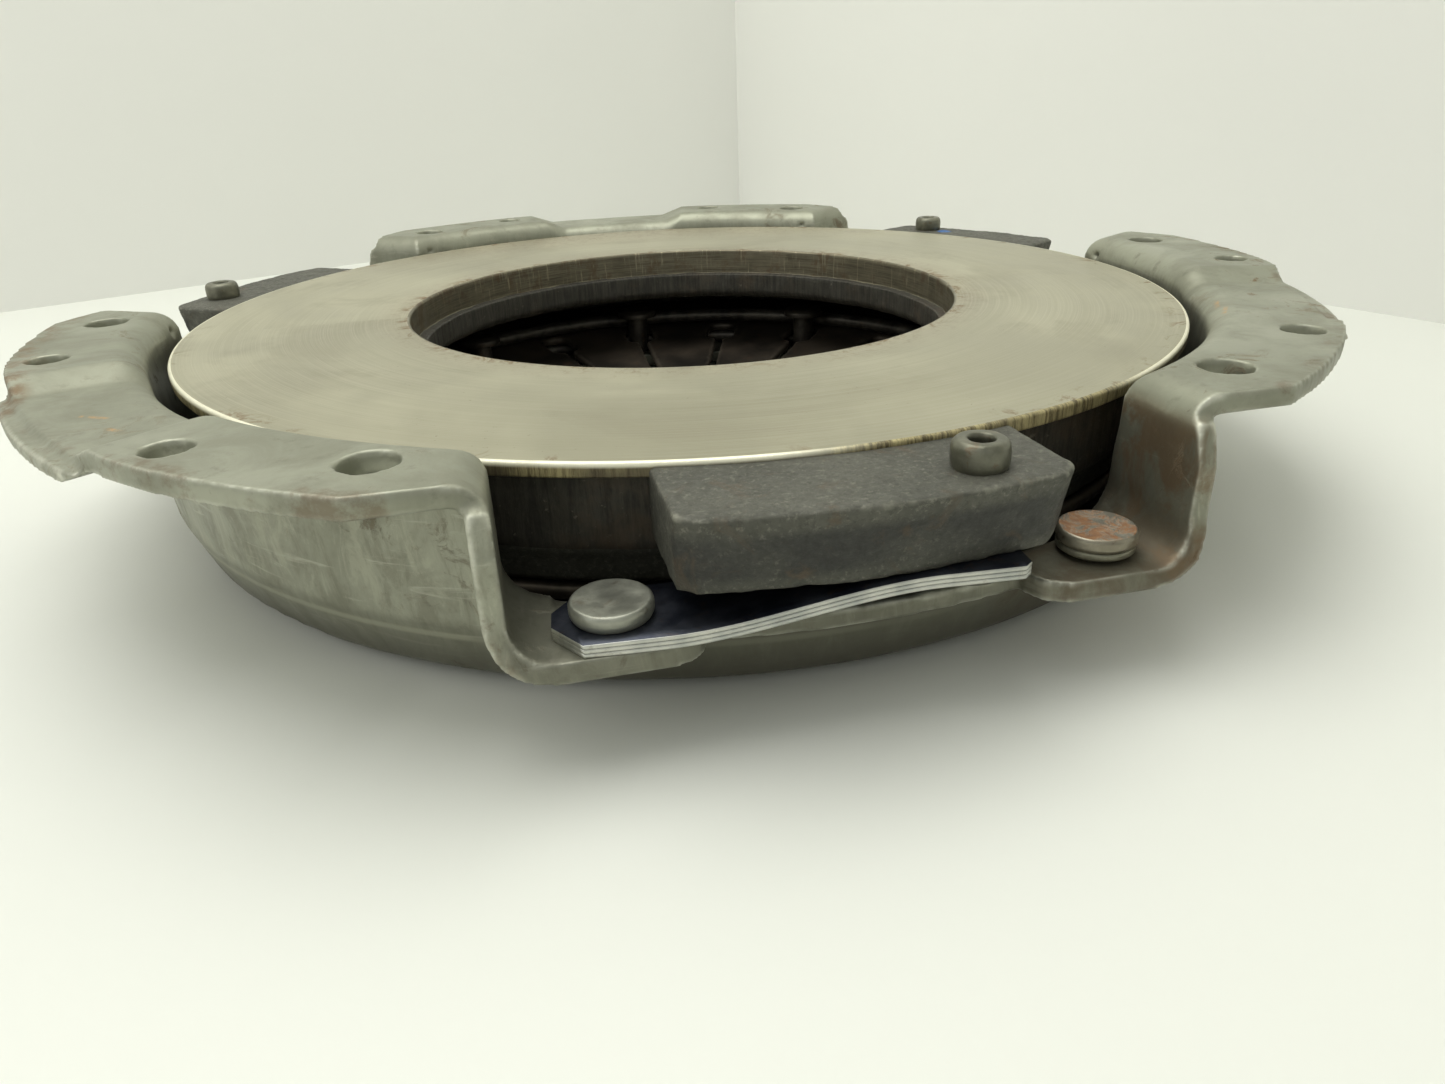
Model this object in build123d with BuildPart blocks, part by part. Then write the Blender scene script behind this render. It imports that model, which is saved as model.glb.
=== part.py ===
from build123d import *
from math import cos, sin, radians, atan2, degrees, hypot
import os

# Diaphragm-spring clutch cover assembly, 350 mm class, lying with its friction face up.
# Row frame: origin at the centre of the flywheel mounting plane (tops of the flange pads),
# +Z out of the cover towards the flywheel, -Y through the middle of one lug window.
# All lengths in millimetres, all angles in degrees.

# ---------------------------------------------------------------- driving dimensions
sheet = 5.1                      # pressed cover sheet
window_angles = (-90.0, 30.0, 150.0)
segment_angles = (-150.0, -30.0, 90.0)
window_near = 77.8               # half width of a lug window between its parallel sides

wall_in_r = 182.3                # inner face of the cover wall
wall_out_r = wall_in_r + sheet
wall_half = 39.5                 # half angle of a segment before its ends are trimmed
pad_start = 11.5                 # pads run from here to the end of a segment
valley_half = 8.5                # recessed middle of a flange segment
valley_drop = 4.0
flange_blank_r = 219.0
pad_end = 189.6                  # straight end of the pads, along the window axis
shoulder_r = 191.5               # trimmed edge of the bowl between the tabs

mid_hole_r, mid_hole_circle, mid_hole_angle = 5.5, 206.5, 15.75
end_hole_r, end_hole_circle, end_hole_angle = 6.5, 198.5, 29.5

tab_top = -38.0                  # strap tabs, one each side of a window
tab_edge = 198.3                 # outer edge of the tabs, along the window axis
tab_left_end = 36.0              # across from the window centre, strap side
tab_right_end = 39.5             # across from the window centre, stop side
bend_top_r = 8.0
bend_tab_r = 9.0

cover_bottom = -64.0             # outside face of the cover's back
cover_floor = cover_bottom + sheet
cover_opening_r = 112.0

face_z = -7.0                    # friction face
plate_r = 177.0
bore_r = 101.2
bore_lip_r, bore_lip_z = 97.4, -17.5   # rough cast bore below the machined one
rim_bottom = -10.7
cast_r = 171.7
plate_back = -29.0
ridge_r, ridge_z = 163.0, -43.3  # crest that bears on the diaphragm

lug_top, lug_bottom, lug_r, lug_half = -8.3, -27.4, 206.0, 44.2   # outline at the top of a lug
lug_draft_r, lug_draft_side = 5.0, 2.6                            # how much less at its bottom

strap_circle = 194.5             # circle of all the strap and stop rivets
strap_cover_angle = -16.7        # from the window centre
strap_lug_angle = 7.1
stop_angle = 18.4
leaf_t, leaf_pitch, leaf_w = 1.0, 1.03, 23.5
leaf_tail = 13.0
leaf_nose = 9.5
shank_r = 5.0
tab_head_r, tab_head_h = 7.3, 2.6
fit_gap = 0.02

fulcrum_r = 132.5                # mean radius of the two fulcrum rings
fulcrum_wire_r = 3.25
fulcrum_rivet_circle = 124.0
fulcrum_rivet_count = 9

finger_count = 18
spring_t = 4.2
spring_slope = 0.148             # rise of the free cone per unit of radius
spring_out_r, spring_in_r = 168.0, 47.0
spring_under_at_fulcrum = cover_floor + 2 * fulcrum_wire_r + 0.08
spring_slot_w = 3.2


def spring_under(r):
    return spring_under_at_fulcrum + spring_slope * (r - fulcrum_r)


def on_circle(r, angle):
    return (r * cos(radians(angle)), r * sin(radians(angle)))


def radial_plane(angle):
    # local x runs outward along the radius, local y is up
    a = radians(angle)
    return Plane(origin=(0, 0, 0), x_dir=(cos(a), sin(a), 0), z_dir=(sin(a), -cos(a), 0))


def tangent_plane(angle, r):
    # local x runs counter-clockwise along the rim, local y is up, the normal points outward
    a = radians(angle)
    return Plane(origin=(r * cos(a), r * sin(a), 0), x_dir=(-sin(a), cos(a), 0), z_dir=(cos(a), sin(a), 0))


def wall_section(top):
    # wall and flange of a segment, down to where it joins the bowl
    return [
        (wall_in_r, top), (flange_blank_r, top), (flange_blank_r, top - sheet),
        (wall_out_r, top - sheet), (184.9, -46.6), (180.1, -44.86),
    ]


# ---------------------------------------------------------------- cover
def window_frame(angle, z):
    # local x runs outward along the middle of a window, local y across it
    a = radians(angle)
    return Plane(origin=(0, 0, z), x_dir=(cos(a), sin(a), 0), z_dir=(0, 0, 1))


with BuildPart() as cover:
    # three flange segments, each with two pads, a valley and two ramps
    for s in segment_angles:
        for a0, a1, top in (
            (s - wall_half, s - pad_start, 0.0),
            (s - valley_half, s + valley_half, -valley_drop),
            (s + pad_start, s + wall_half, 0.0),
        ):
            with BuildSketch(radial_plane(a0)):
                with BuildLine():
                    Polyline(*wall_section(top), close=True)
                make_face()
                fillet(vertices().sort_by_distance((wall_in_r, top))[0], bend_top_r)
                fillet(vertices().sort_by_distance((wall_out_r, top - sheet))[0], 2.9)
            revolve(axis=Axis.Z, revolution_arc=a1 - a0)
        for side in (-1, 1):
            for a, top in ((s + side * valley_half, -valley_drop), (s + side * pad_start, 0.0)):
                with BuildSketch(radial_plane(a)):
                    with BuildLine():
                        Polyline(*wall_section(top), close=True)
                    make_face()
                    fillet(vertices().sort_by_distance((wall_in_r, top))[0], bend_top_r)
                    fillet(vertices().sort_by_distance((wall_out_r, top - sheet))[0], 2.9)
            loft(ruled=True)

    # clear the windows to their parallel sides
    for w in window_angles:
        with BuildSketch(window_frame(w, -bend_top_r - 0.1)):
            with Locations((190, 0)):
                Rectangle(120, 2 * (window_near + bend_top_r))
        extrude(amount=12, mode=Mode.SUBTRACT)
        with BuildSketch(tangent_plane(w, 130.0)):
            with BuildLine():
                c = window_near + 2.5
                Polyline((-c, -bend_top_r), (-c, tab_top - 1.5), (c, tab_top - 1.5), (c, -bend_top_r), close=True)
            make_face()
            fillet(vertices().sort_by_distance((-c, tab_top - 1.5))[0], bend_tab_r + 2.5)
            fillet(vertices().sort_by_distance((c, tab_top - 1.5))[0], bend_tab_r + 2.5)
        extrude(amount=120, mode=Mode.SUBTRACT)

    for w in window_angles:
        # trimmed shoulder of the bowl between the tabs
        with BuildSketch(radial_plane(w - 14.0)):
            with BuildLine():
                Polyline(
                    (180.1, -44.86), (182.15, -39.2), (shoulder_r, -39.2), (shoulder_r, -44.3), (185.7, -44.3),
                    (184.9, -46.6), close=True,
                )
            make_face()
            fillet(vertices().sort_by_distance((182.15, -39.2))[0], 7.5)
            fillet(vertices().sort_by_distance((185.7, -44.3))[0], 1.6)
        revolve(axis=Axis.Z, revolution_arc=28.0)
        for side, end in ((-1, tab_left_end), (1, tab_right_end)):
            # rolled side of the window, from the flange down into the strap tab
            with BuildSketch(tangent_plane(w, 160.0)):
                with BuildLine():
                    Polyline(
                        (side * (window_near + 13), 0), (side * window_near, 0), (side * window_near, tab_top),
                        (side * (window_near - bend_tab_r - 1), tab_top),
                        (side * (window_near - bend_tab_r - 1), tab_top - sheet),
                        (side * (window_near + sheet), tab_top - sheet),
                        (side * (window_near + sheet), -sheet), (side * (window_near + 13), -sheet), close=True,
                    )
                make_face()
                fillet(vertices().sort_by_distance((side * window_near, 0))[0], bend_top_r)
                fillet(vertices().sort_by_distance((side * window_near, tab_top))[0], bend_tab_r)
                fillet(vertices().sort_by_distance((side * (window_near + sheet), tab_top - sheet))[0], bend_tab_r + sheet)
                fillet(vertices().sort_by_distance((side * (window_near + sheet), -sheet))[0], 2.9)
            extrude(amount=tab_edge - 160.0)
            # tab, blended into the bowl on its inner side
            t0, t1 = sorted((w + side * 9.0, w + side * 25.4))
            with BuildPart(mode=Mode.PRIVATE) as tab:
                with BuildSketch(radial_plane(t0)):
                    with BuildLine():
                        Polyline(
                            (180.1, -44.86), (182.6, tab_top), (226, tab_top), (226, tab_top - sheet),
                            (186.1, tab_top - sheet), (184.9, -46.6), close=True,
                        )
                    make_face()
                    fillet(vertices().sort_by_distance((182.6, tab_top))[0], 8.0)
                    fillet(vertices().sort_by_distance((186.1, tab_top - sheet))[0], 1.8)
                revolve(axis=Axis.Z, revolution_arc=t1 - t0)
                with BuildSketch(window_frame(w, -60)):
                    with BuildLine():
                        e, f = side * end, side * (window_near - bend_tab_r)
                        Polyline(
                            (150, e), (tab_edge - 8.0, e), (tab_edge - 2.4, e + side * 2.4), (tab_edge, e + side * 8.0),
                            (tab_edge, f), (150, f), close=True,
                        )
                    make_face()
                    fillet(vertices().sort_by_distance((tab_edge - 2.4, e + side * 2.4))[0], 5.0)
                extrude(amount=30, mode=Mode.INTERSECT)
            add(tab.part)

        # outer edge of the window sides
        with BuildSketch(radial_plane(w)):
            with BuildLine():
                Polyline(
                    (pad_end, 1), (pad_end, -0.5), (193.3, -8), (195.3, -15), (195.5, -26), (196.4, -32),
                    (tab_edge, -37.9), (240, -37.9), (240, 1), close=True,
                )
            make_face()
        extrude(amount=window_near + sheet + 0.02, both=True, mode=Mode.SUBTRACT)
        with BuildSketch(window_frame(w, -8.4)):
            for side in (-1, 1):
                with Locations((pad_end + 20, side * (window_near + sheet + 2.0))):
                    Rectangle(40, 4.0)
        extrude(amount=9.4, mode=Mode.SUBTRACT)

    # outline of the flange segments
    with BuildSketch(Plane.XY.offset(-5.4)) as flange_outline:
        Circle(245)
        with BuildSketch(mode=Mode.PRIVATE) as keep:
            Circle(189.0)
            for s in segment_angles:
                with BuildLine():
                    half = [(213.8, 0.0), (214.2, 5.5), (215.6, 10.0), (216.8, 14.5), (216.7, 20.0), (216.5, 26.0), (216.5, 32.0)]
                    ring = [on_circle(r, s - a) for r, a in reversed(half)] + [on_circle(r, s + a) for r, a in half[1:]]
                    Spline(*ring)
                    Polyline(ring[-1], on_circle(240, s + 40.0), on_circle(150, s + 40.0), on_circle(150, s - 40.0), on_circle(240, s - 40.0), ring[0])
                make_face()
        with BuildSketch(mode=Mode.PRIVATE) as ends:
            for w in window_angles:
                with Locations(Location((0, 0, 0), (0, 0, w))):
                    with Locations((pad_end + 40, 0)):
                        Rectangle(80, 400)
        add(ends.sketch, mode=Mode.ADD)
        add(keep.sketch - ends.sketch, mode=Mode.SUBTRACT)
        corners = []
        for s in segment_angles:
            for side in (-1, 1):
                d = (216.5 ** 2 - pad_end ** 2) ** 0.5
                w = s + side * 60
                c = (pad_end * cos(radians(w)) + side * d * sin(radians(w)), pad_end * sin(radians(w)) - side * d * cos(radians(w)))
                corners.append(vertices().sort_by_distance(c)[0])
        fillet(corners, 6.5)
    extrude(amount=6.4, mode=Mode.SUBTRACT)

    # nothing stands inside the wall
    with BuildSketch(Plane.XZ):
        with BuildLine():
            ThreePointArc((wall_in_r + 8, 0), (wall_in_r + 2.343, -2.343), (wall_in_r, -8))
            Polyline((wall_in_r, -8), (180.1, -44.86), (0, -44.86), (0, 3), (wall_in_r + 8, 3), (wall_in_r + 8, 0))
        make_face()
    revolve(axis=Axis.Z, mode=Mode.SUBTRACT)

    # bowl
    with BuildSketch(Plane.XZ):
        with BuildLine():
            Polyline(
                (cover_opening_r, cover_bottom), (179.0, cover_bottom), (184.9, -46.6), (180.1, -44.86),
                (175.3, cover_floor), (cover_opening_r, cover_floor), close=True,
            )
        make_face()
        fillet(vertices().sort_by_distance((179.0, cover_bottom))[0], 6.0)
        fillet(vertices().sort_by_distance((175.3, cover_floor))[0], 2.4)
    revolve(axis=Axis.Z)

    # mounting holes
    with BuildSketch(Plane.XY.offset(1)):
        for s in segment_angles:
            with Locations(on_circle(mid_hole_circle, s - mid_hole_angle), on_circle(mid_hole_circle, s + mid_hole_angle)):
                Circle(mid_hole_r)
            with Locations(on_circle(end_hole_circle, s - end_hole_angle), on_circle(end_hole_circle, s + end_hole_angle)):
                Circle(end_hole_r)
    extrude(amount=-9, mode=Mode.SUBTRACT)

    # rivet holes in the tabs and in the back
    with BuildSketch(Plane.XY.offset(tab_top + 0.5)):
        for w in window_angles:
            with Locations(on_circle(strap_circle, w + strap_cover_angle), on_circle(strap_circle, w + stop_angle)):
                Circle(shank_r + fit_gap)
    extrude(amount=-sheet - 1, mode=Mode.SUBTRACT)
    # coined seats for the closed ends of the tab rivets
    with BuildSketch(Plane.XY.offset(tab_top - sheet)):
        for w in window_angles:
            with Locations(on_circle(strap_circle, w + strap_cover_angle), on_circle(strap_circle, w + stop_angle)):
                Circle(tab_head_r + 0.25)
    extrude(amount=-tab_head_h - 0.4, mode=Mode.SUBTRACT)
    with BuildSketch(Plane.XY.offset(cover_floor + 1)):
        with PolarLocations(fulcrum_rivet_circle, fulcrum_rivet_count, start_angle=90):
            Circle(shank_r + fit_gap)
    extrude(amount=-sheet - 2, mode=Mode.SUBTRACT)

# ---------------------------------------------------------------- pressure plate
with BuildPart() as pressure_plate:
    with BuildSketch(Plane.XZ):
        with BuildLine():
            Polyline(
                (bore_r, face_z), (plate_r - 1.0, face_z), (plate_r, face_z - 1.0), (plate_r, rim_bottom),
                (cast_r, rim_bottom - 1.6), (cast_r, plate_back - 2.0), (168.6, -35.0), (167.0, ridge_z + 2.2),
                (ridge_r + 1.4, ridge_z), (ridge_r - 1.4, ridge_z), (159.0, ridge_z + 2.2), (156.5, -33.0),
                (152.0, plate_back), (101.0, plate_back), (bore_lip_r, plate_back + 3.0), (bore_lip_r, bore_lip_z),
                (bore_r, bore_lip_z), close=True,
            )
        make_face()
        fillet(vertices().sort_by_distance((152.0, plate_back))[0], 5.0)
    revolve(axis=Axis.Z)
    for w in window_angles:
        for z, ro, ha in ((lug_bottom, lug_r - lug_draft_r, lug_half - lug_draft_side), (lug_top, lug_r, lug_half)):
            with BuildSketch(window_frame(w, z)):
                with BuildLine():
                    c = (ro ** 2 - ha ** 2) ** 0.5
                    Line((158, -ha), (c, -ha))
                    ThreePointArc((c, -ha), (ro, 0), (c, ha))
                    Line((c, ha), (158, ha))
                    Line((158, ha), (158, -ha))
                make_face()
                fillet([vertices().sort_by_distance((c, -ha))[0], vertices().sort_by_distance((c, ha))[0]], 3.0)
        loft()
    outer_lug_edges = [
        e for e in edges()
        if e.center().Z > lug_top - 0.01 and e.center().Z < lug_top + 0.01 and hypot(e.center().X, e.center().Y) > 181
    ] + [
        e for e in edges()
        if abs(e.center().Z - lug_bottom) < 0.01 and hypot(e.center().X, e.center().Y) > 181
    ]
    fillet(outer_lug_edges, 1.4)
    # strap rivet holes in the lugs
    with BuildSketch(Plane.XY.offset(lug_top + 1)):
        for w in window_angles:
            with Locations(on_circle(strap_circle, w + strap_lug_angle)):
                Circle(shank_r + fit_gap)
    extrude(amount=-(lug_top - lug_bottom) - 2, mode=Mode.SUBTRACT)
    # balance drilling in the rim casting
    with BuildSketch(tangent_plane(-104.5, cast_r + 1)):
        with Locations((0, -19.0)):
            Circle(3.0)
    extrude(amount=-9, mode=Mode.SUBTRACT)

# ---------------------------------------------------------------- diaphragm spring
with BuildPart() as diaphragm_spring:
    with BuildSketch(Plane.XZ):
        with BuildLine():
            Polyline(
                (spring_in_r, spring_under(spring_in_r)), (spring_out_r, spring_under(spring_out_r)),
                (spring_out_r, spring_under(spring_out_r) + spring_t), (spring_in_r, spring_under(spring_in_r) + spring_t),
                close=True,
            )
        make_face()
        fillet(vertices(), 0.9)
    revolve(axis=Axis.Z)
    # slots between the fingers, each ending in a wide window
    with BuildSketch(Plane.XY.offset(-80)):
        with PolarLocations(0, finger_count, start_angle=90):
            with Locations((83.0, 0)):
                Rectangle(78.0, spring_slot_w)
            with Locations((120.3, 0)):
                RectangleRounded(18.0, 13.6, 4.5)
    extrude(amount=60, mode=Mode.SUBTRACT)

# ---------------------------------------------------------------- fulcrum rings and rivets
lower_ring_z = cover_floor + fulcrum_wire_r + 0.02
upper_ring_z = spring_under_at_fulcrum + spring_t + fulcrum_wire_r * 1.011 + 0.05
rivet_seat_z = upper_ring_z + fulcrum_wire_r + 0.02

with BuildPart() as fulcrum_ring_cover_side:
    with BuildSketch(Plane.XZ):
        with Locations((fulcrum_r, lower_ring_z)):
            Circle(fulcrum_wire_r - 0.03)
    revolve(axis=Axis.Z)

with BuildPart() as fulcrum_ring_plate_side:
    with BuildSketch(Plane.XZ):
        with Locations((fulcrum_r, upper_ring_z)):
            Circle(fulcrum_wire_r)
    revolve(axis=Axis.Z)

with BuildPart() as fulcrum_rivets:
    for i in range(fulcrum_rivet_count):
        x, y = on_circle(fulcrum_rivet_circle, 90 + i * 360 / fulcrum_rivet_count)
        with BuildSketch(Plane(origin=(x, y, 0), x_dir=(1, 0, 0), z_dir=(0, -1, 0))):
            with BuildLine():
                Polyline(
                    (0, rivet_seat_z + 3.6), (7.6, rivet_seat_z + 3.6), (9.6, rivet_seat_z + 2.2), (9.6, rivet_seat_z),
                    (shank_r, rivet_seat_z), (shank_r, cover_bottom), (8.2, cover_bottom), (8.2, cover_bottom - 1.4),
                    (6.4, cover_bottom - 3.0), (0, cover_bottom - 3.0), close=True,
                )
            make_face()
        revolve(axis=Axis((x, y, 0), (0, 0, 1)))

# ---------------------------------------------------------------- drive straps
leaf_names = ("lower", "middle", "upper")
straps = {}
for w, tag in zip(window_angles, ("front", "right", "left")):
    ax, ay = on_circle(strap_circle, w + strap_cover_angle)
    bx, by = on_circle(strap_circle, w + strap_lug_angle)
    chord = hypot(bx - ax, by - ay)
    dx, dy = (bx - ax) / chord, (by - ay) / chord
    lift = (lug_bottom - 0.03 - 3 * leaf_pitch) - tab_top
    strap_plane = Plane(origin=(ax, ay, 0), x_dir=(dx, dy, 0), z_dir=(dy, -dx, 0))
    for i, level in enumerate(leaf_names):
        z0 = tab_top + 0.02 + i * leaf_pitch
        z1 = z0 + lift
        with BuildPart() as leaf:
            with BuildSketch(strap_plane):
                with BuildLine():
                    Line((-leaf_tail, z0), (10.0, z0))
                    Spline((10.0, z0), (chord / 2, (z0 + z1) / 2), (chord - 10.0, z1), tangents=((1, 0), (1, 0)))
                    Line((chord - 10.0, z1), (chord + leaf_nose, z1))
                    Line((chord + leaf_nose, z1), (chord + leaf_nose, z1 + leaf_t))
                    Line((chord + leaf_nose, z1 + leaf_t), (chord - 10.0, z1 + leaf_t))
                    Spline((chord - 10.0, z1 + leaf_t), (chord / 2, (z0 + z1) / 2 + leaf_t), (10.0, z0 + leaf_t), tangents=((-1, 0), (-1, 0)))
                    Line((10.0, z0 + leaf_t), (-leaf_tail, z0 + leaf_t))
                    Line((-leaf_tail, z0 + leaf_t), (-leaf_tail, z0))
                make_face()
            extrude(amount=leaf_w / 2, both=True)
            # clipped corners at the cover end and the two rivet holes
            flat = Plane(origin=(ax, ay, -45), x_dir=(dx, dy, 0), z_dir=(0, 0, 1))
            with BuildSketch(flat):
                for side in (-1, 1):
                    with BuildLine():
                        Polyline(
                            (-leaf_tail - 1, side * 3.2), (-leaf_tail, side * 3.2), (-6.6, side * leaf_w / 2),
                            (-6.6, side * (leaf_w / 2 + 1)), (-leaf_tail - 1, side * (leaf_w / 2 + 1)), close=True,
                        )
                    make_face()
                Circle(shank_r + fit_gap)
                with Locations((chord, 0)):
                    Circle(shank_r + fit_gap)
            extrude(amount=30, mode=Mode.SUBTRACT)
        straps[f"strap_{tag}_{level}"] = leaf

pack_top = tab_top + 0.02 + 3 * leaf_pitch


def rivet_points(angle):
    return [on_circle(strap_circle, w + angle) for w in window_angles]


with BuildPart() as strap_cover_rivets:
    for x, y in rivet_points(strap_cover_angle):
        with BuildSketch(Plane(origin=(x, y, 0), x_dir=(1, 0, 0), z_dir=(0, -1, 0))):
            with BuildLine():
                Polyline(
                    (0, pack_top + 4.2), (8.6, pack_top + 4.2), (9.25, pack_top + 3.6), (9.25, pack_top + 1.2),
                    (8.5, pack_top), (shank_r, pack_top), (shank_r, tab_top - sheet - 0.02),
                    (tab_head_r, tab_top - sheet - 0.02), (tab_head_r, tab_top - sheet - 1.3),
                    (tab_head_r - 1.5, tab_top - sheet - tab_head_h), (0, tab_top - sheet - tab_head_h), close=True,
                )
            make_face()
        revolve(axis=Axis((x, y, 0), (0, 0, 1)))

with BuildPart() as stop_rivets:
    for x, y in rivet_points(stop_angle):
        with BuildSketch(Plane(origin=(x, y, 0), x_dir=(1, 0, 0), z_dir=(0, -1, 0))):
            with BuildLine():
                Polyline(
                    (0, pack_top + 3.6), (8.8, pack_top + 3.6), (9.45, pack_top + 3.0), (9.45, pack_top + 0.5),
                    (9.1, pack_top), (shank_r, pack_top), (shank_r, tab_top - sheet - 0.02),
                    (tab_head_r, tab_top - sheet - 0.02), (tab_head_r, tab_top - sheet - 1.3),
                    (tab_head_r - 1.5, tab_top - sheet - tab_head_h), (0, tab_top - sheet - tab_head_h), close=True,
                )
            make_face()
        revolve(axis=Axis((x, y, 0), (0, 0, 1)))

with BuildPart() as stop_collars:
    for x, y in rivet_points(stop_angle):
        with BuildSketch(Plane(origin=(x, y, 0), x_dir=(1, 0, 0), z_dir=(0, -1, 0))):
            with BuildLine():
                Polyline(
                    (shank_r + fit_gap, tab_top + 0.02), (7.0, tab_top + 0.02), (9.2, tab_top + 1.4),
                    (9.2, pack_top - 0.35), (8.9, pack_top - 0.02), (shank_r + fit_gap, pack_top - 0.02), close=True,
                )
            make_face()
        revolve(axis=Axis((x, y, 0), (0, 0, 1)))

with BuildPart() as strap_lug_rivets:
    under = lug_bottom - 0.05 - 3 * leaf_pitch
    for x, y in rivet_points(strap_lug_angle):
        with BuildSketch(Plane(origin=(x, y, 0), x_dir=(1, 0, 0), z_dir=(0, -1, 0))):
            with BuildLine():
                Polyline(
                    (2.9, -2.0), (5.3, -2.0), (6.1, -2.9), (6.35, -4.4), (6.35, -7.2), (5.9, lug_top + 0.02),
                    (shank_r, lug_top + 0.02), (shank_r, under), (8.4, under), (8.4, under - 1.8),
                    (6.8, under - 3.4), (0, under - 3.4), (0, -19.0), (2.7, -18.0), (2.7, -2.6), close=True,
                )
            make_face()
        revolve(axis=Axis((x, y, 0), (0, 0, 1)))

# ---------------------------------------------------------------- export
os.makedirs("parts", exist_ok=True)
pieces = {
    "cover": cover, "pressure_plate": pressure_plate, "diaphragm_spring": diaphragm_spring,
    "fulcrum_ring_cover_side": fulcrum_ring_cover_side, "fulcrum_ring_plate_side": fulcrum_ring_plate_side,
    "fulcrum_rivets": fulcrum_rivets, "strap_cover_rivets": strap_cover_rivets,
    "strap_lug_rivets": strap_lug_rivets, "stop_rivets": stop_rivets, "stop_collars": stop_collars,
}
pieces.update(straps)
for piece_name, piece in pieces.items():
    piece.part.label = piece_name
    export_step(piece.part, f"parts/{piece_name}.step")
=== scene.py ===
import bpy, bmesh, math
import numpy as np
from mathutils import Matrix, Vector, noise


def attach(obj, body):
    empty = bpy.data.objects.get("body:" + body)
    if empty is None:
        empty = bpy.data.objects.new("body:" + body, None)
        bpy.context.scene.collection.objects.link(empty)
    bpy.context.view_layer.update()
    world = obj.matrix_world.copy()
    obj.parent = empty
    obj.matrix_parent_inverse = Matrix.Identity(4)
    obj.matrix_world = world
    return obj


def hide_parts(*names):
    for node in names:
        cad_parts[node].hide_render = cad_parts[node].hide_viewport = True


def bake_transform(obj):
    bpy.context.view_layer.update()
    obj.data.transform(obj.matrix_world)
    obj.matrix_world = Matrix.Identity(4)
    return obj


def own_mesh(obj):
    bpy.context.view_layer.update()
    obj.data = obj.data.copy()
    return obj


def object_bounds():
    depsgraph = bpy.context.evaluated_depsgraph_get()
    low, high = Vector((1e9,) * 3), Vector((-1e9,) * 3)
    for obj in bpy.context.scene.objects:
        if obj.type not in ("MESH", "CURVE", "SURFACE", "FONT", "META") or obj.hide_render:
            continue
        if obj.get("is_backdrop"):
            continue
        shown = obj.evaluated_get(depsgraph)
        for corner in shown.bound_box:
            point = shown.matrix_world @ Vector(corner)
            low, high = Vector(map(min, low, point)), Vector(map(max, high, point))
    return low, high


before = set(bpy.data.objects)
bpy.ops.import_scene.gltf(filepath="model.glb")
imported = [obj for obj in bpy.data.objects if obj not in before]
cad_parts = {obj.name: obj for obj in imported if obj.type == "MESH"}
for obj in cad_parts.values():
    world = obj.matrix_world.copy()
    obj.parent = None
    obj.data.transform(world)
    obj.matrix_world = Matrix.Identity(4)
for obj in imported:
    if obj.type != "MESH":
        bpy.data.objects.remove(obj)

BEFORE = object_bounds()
MM = 0.001
R = 0.177
WINDOWS = (-90.0, 30.0, 150.0)
SEGMENTS = (-150.0, -30.0, 90.0)


# ------------------------------------------------------------------ mesh helpers
def link(name, mesh, body=None):
    ob = bpy.data.objects.new(name, mesh)
    bpy.context.scene.collection.objects.link(ob)
    if body:
        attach(ob, body)
    return ob


def mesh_of(name, verts, faces, mats=None, smooth=True):
    me = bpy.data.meshes.new(name)
    me.from_pydata([tuple(v) for v in verts], [], [tuple(f) for f in faces])
    if mats is not None:
        me.polygons.foreach_set("material_index", np.array(mats, dtype=np.int32))
    if smooth:
        me.polygons.foreach_set("use_smooth", [True] * len(me.polygons))
    me.update()
    return me


def remeshed(me, voxel, rounds):
    """A closed mesh as an even skin with its edges softened, in a new mesh."""
    tmp = bpy.data.objects.new("tmp", me)
    bpy.context.scene.collection.objects.link(tmp)
    m = tmp.modifiers.new("skin", "REMESH")
    m.mode = "VOXEL"
    m.voxel_size = voxel
    m.adaptivity = 0.0
    m.use_smooth_shade = True
    if rounds:
        s = tmp.modifiers.new("soften", "SMOOTH")
        s.factor = 0.5
        s.iterations = rounds
    out = bpy.data.meshes.new_from_object(tmp.evaluated_get(bpy.context.evaluated_depsgraph_get()))
    bpy.data.objects.remove(tmp)
    out.materials.clear()
    out.polygons.foreach_set("use_smooth", [True] * len(out.polygons))
    return out


def coords(me):
    co = np.zeros(len(me.vertices) * 3, np.float32)
    me.vertices.foreach_get("co", co)
    return co.reshape(-1, 3).astype(float)


def normals(me):
    no = np.zeros(len(me.vertices) * 3, np.float32)
    me.vertices.foreach_get("normal", no)
    return no.reshape(-1, 3).astype(float)


def set_coords(me, co):
    me.vertices.foreach_set("co", co.astype(np.float32).ravel())
    me.update()


def edges_of(me):
    e = np.zeros(len(me.edges) * 2, np.int32)
    me.edges.foreach_get("vertices", e)
    return e.reshape(-1, 2)


def curvature(me, passes=2):
    """Positive on convex edges, negative in creases, about -1 to 1."""
    co, no, e = coords(me), normals(me), edges_of(me)
    n = len(co)
    tot, cnt = np.zeros((n, 3)), np.zeros(n)
    for a, b in ((0, 1), (1, 0)):
        for k in range(3):
            tot[:, k] += np.bincount(e[:, a], weights=co[e[:, b], k], minlength=n)
        cnt += np.bincount(e[:, a], minlength=n)
    cnt = np.maximum(cnt, 1)
    lap = tot / cnt[:, None] - co
    c = -(lap * no).sum(1)
    for _ in range(passes):
        s = np.zeros(n)
        for a, b in ((0, 1), (1, 0)):
            s += np.bincount(e[:, a], weights=c[e[:, b]], minlength=n)
        c = 0.4 * c + 0.6 * s / cnt
    return c


def attribute(me, name, values):
    a = me.attributes.get(name) or me.attributes.new(name, "FLOAT", "POINT")
    a.data.foreach_set("value", np.asarray(values, np.float32))


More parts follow.
